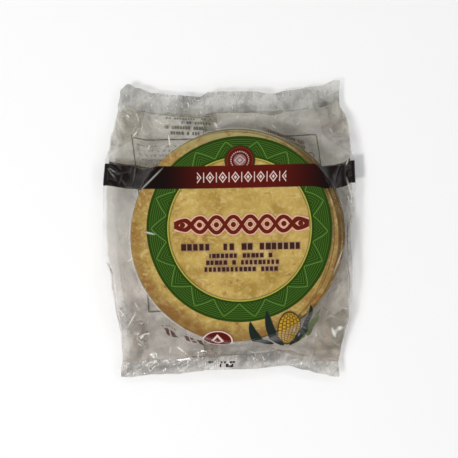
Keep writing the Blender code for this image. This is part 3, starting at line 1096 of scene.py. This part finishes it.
def film_finish(name, prints, margin_cover):
    """Thin clear film: nearly unseen where it is taut on the food, greyer where it hangs loose. Its colour
    carries painted light and shade of crumples, painted shade on the right, and painted glints.
    """
    material, shader, wire = new_material(name)
    u, v, _ = wire.node("UVMap", {"uv_map": "OFBake"}, {}).parts()
    u, v = (u - 0.5) * (1000.0 * FILM_SPAN), (v - 0.5) * (1000.0 * FILM_SPAN)
    place = wire.node("TexCoord", {}, {}, output=3)
    x, y, _ = place.parts()
    x, y = x - float(TOP_CENTRE[0]), y - float(TOP_CENTRE[1])
    over_stack = x.length(y).rise(0.0785, 0.0745)
    # Painted light and shade of crumpled film, in patches from dark and more covering to pale and clearer;
    # calmer down the left side.
    crumple_shading = place.noise(42.0, 6.0, 0.68, 1.4).rise(0.34, 0.66)
    tone = place.noise(30.0, 3.0, 0.5, 0.5).rise(0.40, 0.60)
    smooth = x.rise(-0.072, -0.080) * y.near(0.012, 0.055, 0.015)
    loose = margin_cover + (crumple_shading - 0.5) * (0.18 - 0.11 * smooth)
    # Painted shade: the loose film is greyer to the right, most at the lower right, where the stack's
    # shadow falls.
    loose = loose + x.rise(0.020, 0.085) * (0.10 - 0.08 * y.rise(0.000, 0.040))
    loose = loose + y.size().rise(0.058, 0.085) * 0.035
    loose = loose + x.rise(-0.055, -0.085) * y.rise(0.020, 0.055) * 0.05
    # Painted shade: on the stack the film is greyer towards the right edge.
    cover = over_stack * (TAUT_COVER + 0.10 * x.rise(0.045, 0.078)) + (1.0 - over_stack) * loose
    dim = tone.blend(colour(94, 78, 60), colour(82, 80, 54))
    light = y.rise(-0.030, 0.060).blend(colour(180, 157, 126), colour(174, 165, 132))
    ink = Ink(crumple_shading.blend(light, dim), cover)
    prints(ink, u, v)
    band, aside = v.between(*BAND_EDGES), 1.0 - over_stack
    # Painted glints on the folds and along the rim, which also stand for whitened creases, and painted
    # sparkles on the loose film; the glints are fainter on the band.
    white = wire.node("Attribute", {"attribute_name": "white"}, {}, output=2) * (1.0 - 0.5 * band)
    painted_sparkles = place.noise(260.0, 3.0, 0.6, 0.6).rise(0.66, 0.74) * aside * ink.cover.rise(0.8, 0.4)
    ink.add(white.above(painted_sparkles * 0.35), colour(250, 248, 242), 0.85)
    ink.shade.into(shader, "Base Color")
    ink.cover.into(shader, "Alpha")
    (band * aside * 0.22 + 0.10).into(shader, "Roughness")
    shader.inputs["IOR"].default_value = 1.5
    shader.inputs["Specular IOR Level"].default_value = 0.30
    place.noise(160.0, 2.0, 0.5, 0.3).relief(shader, 0.35, 0.0006)
    return material


# The coarse grid that the film first hangs on, and how far from the stack's axis it surely lies flat.
COARSE_GRID = (43, 37)
LYING_RADIUS = 0.070

front_points, front_flat = hang(FRONT, *COARSE_GRID, (300, 200, 160), seed=5)
back_points, back_flat = hang(BACK, *COARSE_GRID, (300, 160), seed=8)
front_flat = registered(front_flat, front_points, beside_stack(front_points)[1] < LYING_RADIUS)
back_flat = registered(back_flat, back_points, beside_stack(back_points)[1] < LYING_RADIUS)
front_flat, front_points = halved(front_flat), pinned(halved(front_points), FRONT)
back_flat, back_points = halved(back_flat), pinned(halved(back_points), BACK)
front_crumple = [
    *chance_folds(45, 29, (18.0, 60.0), (4.0, 9.0), 0.7, 0.15),
    *chance_folds(260, 31, (2.0, 16.0), (1.2, 3.6), 0.30, 0.9),
]
back_crumple = [
    *chance_folds(30, 43, (18.0, 60.0), (4.0, 9.0), 0.6, 0.1),
    *chance_folds(90, 47, (3.0, 22.0), (1.2, 3.5), 0.4, 0.5),
]
# The folds' painted glints on both sheets, and the painted highlight along the rim on the front.
front_rim_highlight = painted_rim_highlight(front_points)
front_points, front_whitening_and_glint = creased(front_points, FRONT, PRESSED_FOLDS, front_crumple, 0.25)
front_whitening_and_glint = np.maximum(front_whitening_and_glint, 0.55 * front_rim_highlight)
back_points, back_whitening_and_glint = creased(back_points, BACK, (), back_crumple, 0.0)

front_film = film_finish("printed_film", front_inks, MARGIN_COVER)
back_film = film_finish("back_film", back_inks, MARGIN_COVER)
fold_film = film_finish("folded_film", ring_and_band, FOLD_COVER)
front_sheet = film_piece("film_front", front_points, front_flat, front_whitening_and_glint)
front_sheet.data.materials.append(front_film)
back_sheet = film_piece("film_back", back_points[:, ::-1], back_flat[:, ::-1], back_whitening_and_glint[:, ::-1])
back_sheet.data.materials.append(back_film)
for side_name, right, column in (("film_fold_left", 0, 0), ("film_fold_right", 1, -1)):
    side_points, side_flat = side_fold(right, len(front_flat), front_flat[:, column])
    # Painted glints where the pressed folds cross the side folds.
    ridges = [fold_masks(side_points[..., 0], side_points[..., 1], fold)[1] for fold in PRESSED_FOLDS]
    side_piece = film_piece(side_name, side_points, side_flat, np.max(ridges, axis=0))
    side_piece.data.materials.append(fold_film)


# ---- The sealed ends ------------------------------------------------------------------------
# Both ends are pressed flat between hot ribbed jaws into a stiff double strip, then cut straight.
# The strips wave a little, and the folded corners hang lower.

RIB_PITCH = 0.0014
RIB_HEIGHT = 0.00006
SEAL_DROOP = 0.0016
SEAL_SPAN = 0.230


def seal_points(head, columns, rows):
    """A thin closed strip: out over its upper face, round the cut edge, and in under its lower face.

    The height is the wavy edge's, plus ribs as a sine along x, less the droop towards the cut edge.
    """
    inward = np.linspace(1.0, 0.0, rows)
    ring_inward = np.concatenate([inward, inward[::-1]])
    ring_face = np.repeat((1.0, -1.0), rows)
    left = np.array([corner(0, head, w)[0] for w in ring_inward])
    right = np.array([corner(1, head, w)[0] for w in ring_inward])
    s = np.linspace(0.0, 1.0, columns)[:, None]
    x = left + (right - left) * s
    y = np.stack([end_at(head, x[:, k], w) for k, w in enumerate(ring_inward)], axis=1)
    out = 1.0 - ring_inward
    ribs = RIB_HEIGHT * np.sin(2.0 * np.pi * x / RIB_PITCH) * ease(4.0 * out * ring_inward)
    flutter = 0.0006 * np.sin(x * 210.0 + 3.0 * out) + 0.0004 * np.sin(x * 530.0 + 9.0 * out)
    z = edge_height(x, y) + ring_face * HALF_SEAL + ribs + (flutter - SEAL_DROOP * out) * out
    return np.stack([x, y, z], axis=2), out


def seal_folds(head, count, seed):
    """Short folds across the seal at chance places, most of them in line with the ribs."""
    draw = np.random.default_rng(seed)
    x = draw.uniform(-84.0, 86.0, count)
    if head:
        x[: count // 3] = draw.normal(-8.0, 14.0, count // 3)
    y = 1000.0 * end_at(head, 0.001 * x, draw.uniform(0.0, 0.9, count))
    turn, length = draw.normal(0.5 * np.pi, 0.45, count), draw.uniform(1.0, 6.0, count)
    ends = [x, y, x + length * np.cos(turn), y + length * np.sin(turn)]
    # How bright each fold's painted glint is.
    white = draw.uniform(0.0, 1.0, count) ** 2
    return np.stack([*ends, draw.uniform(0.8, 2.4, count), draw.uniform(-0.3, 0.4, count), white], 1)


def seal_finish():
    """Doubled film, hazier than the rest, with fine streaks along its ribs that paint their light and
    shade, and painted glints.
    """
    material, shader, wire = new_material("sealed_film")
    place = wire.node("TexCoord", {}, {}, output=3)
    haze = place.noise(60.0, 3.0, 0.6, 0.5).rise(0.35, 0.70)
    # Painted light and shade of the ribs: fine streaks drawn out along them.
    drawn = place.node("Mapping", {}, {"Vector": place, "Scale": (1.0, 0.10, 1.0)})
    rib_shading = drawn.noise(520.0, 2.0, 0.6).rise(0.35, 0.70)
    glint_flecks = place.noise(240.0, 3.0, 0.6, 0.6).rise(0.62, 0.72)
    x, y, _ = place.parts()
    x, y = 1000.0 * x, 1000.0 * y
    light = y.rise(-20.0, 20.0).blend(colour(152, 124, 88), colour(150, 146, 120))
    shade = haze.blend(rib_shading.blend(light, colour(120, 114, 98)), colour(74, 70, 56))
    cover = 0.14 + 0.24 * haze + 0.08 * rib_shading
    # Painted glints on the seal's folds, with painted sparkles among them.
    white = wire.node("Attribute", {"attribute_name": "white"}, {}, output=2).above(glint_flecks * 0.6)
    ink = Ink(shade, cover)
    # The band in its painted shade.
    ink.add(y.between(29.3, 46.0, 0.3), BAND_IN_SHADE, 0.93)
    ink.add(white, colour(246, 244, 238), 0.85)
    ink.add(dashes(x, y, -15.2, 5.2, -97.2, 0.6, 2.2, 4.0, 0.1), colour(44, 42, 38), 0.85)
    ink.add(dashes(x, y, -6.8, 5.2, -99.6, 1.1, 2.8, 8.0, 0.2), colour(30, 28, 26), 0.9)
    ink.shade.into(shader, "Base Color")
    ink.cover.into(shader, "Alpha")
    shader.inputs["Roughness"].default_value = 0.15
    shader.inputs["IOR"].default_value = 1.5
    return material


sealed_film = seal_finish()
for seal_name, head in (("seal_head", 1), ("seal_foot", 0)):
    strip, out = seal_points(head, 481, 22)
    # The painted glints of each seal's folds.
    white = np.zeros(strip.shape[:2])
    for fold in seal_folds(head, 150, 61 + head):
        tent, ridge = fold_masks(strip[..., 0], strip[..., 1], fold)
        strip[..., 2] += 0.001 * fold[5] * tent * ease(3.0 * out)
        white = np.maximum(white, ridge)
    strip_faces = closed_faces(strip)
    if head:
        strip_faces = [tuple(reversed(face)) for face in strip_faces]
    seal = mesh_object(seal_name, strip, strip_faces, 0.5 + strip[..., :2] / SEAL_SPAN)
    keep_whitening_and_glint(seal, white)
    seal.data.materials.append(sealed_film)
    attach(seal, "root")
    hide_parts("tortilla_pack")


# ---- The back seam --------------------------------------------------------------------------
# The long edges of the film are welded face to face into a thin fin, which is folded over and
# lies flat along the back, from one sealed end to the other, a little left of the middle.

SEAM_LEFT, SEAM_RIGHT = -0.0180, -0.0070
SEAM_GAP = 0.00008
SEAM_THICKNESS = 0.00014


def on_back(u):
    """Points of the back sheet at the flat places `u` of each row, between its two nearest columns."""
    left, right = back_flat[:, :1, 0], back_flat[:, -1:, 0]
    place = (u - left) / (right - left) * (back_points.shape[1] - 1)
    column = np.floor(place).astype(int)
    share = (place - column)[..., None]
    row = np.arange(len(back_points))[:, None]
    return back_points[row, column] * (1.0 - share) + back_points[row, column + 1] * share


seam_across = np.linspace(SEAM_LEFT, SEAM_RIGHT, 12)
seam_upper, seam_lower = on_back(seam_across), on_back(seam_across[::-1])
seam_upper[..., 2] -= SEAM_GAP
seam_lower[..., 2] -= SEAM_GAP + SEAM_THICKNESS
seam_rings = np.concatenate([seam_upper, seam_lower], axis=1)
seam = mesh_object("back_seam", seam_rings, closed_faces(seam_rings), 0.5 + seam_rings[..., :2] / SEAL_SPAN)
seam.data.materials.append(sealed_film)
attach(seam, "root")
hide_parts("tortilla_pack")
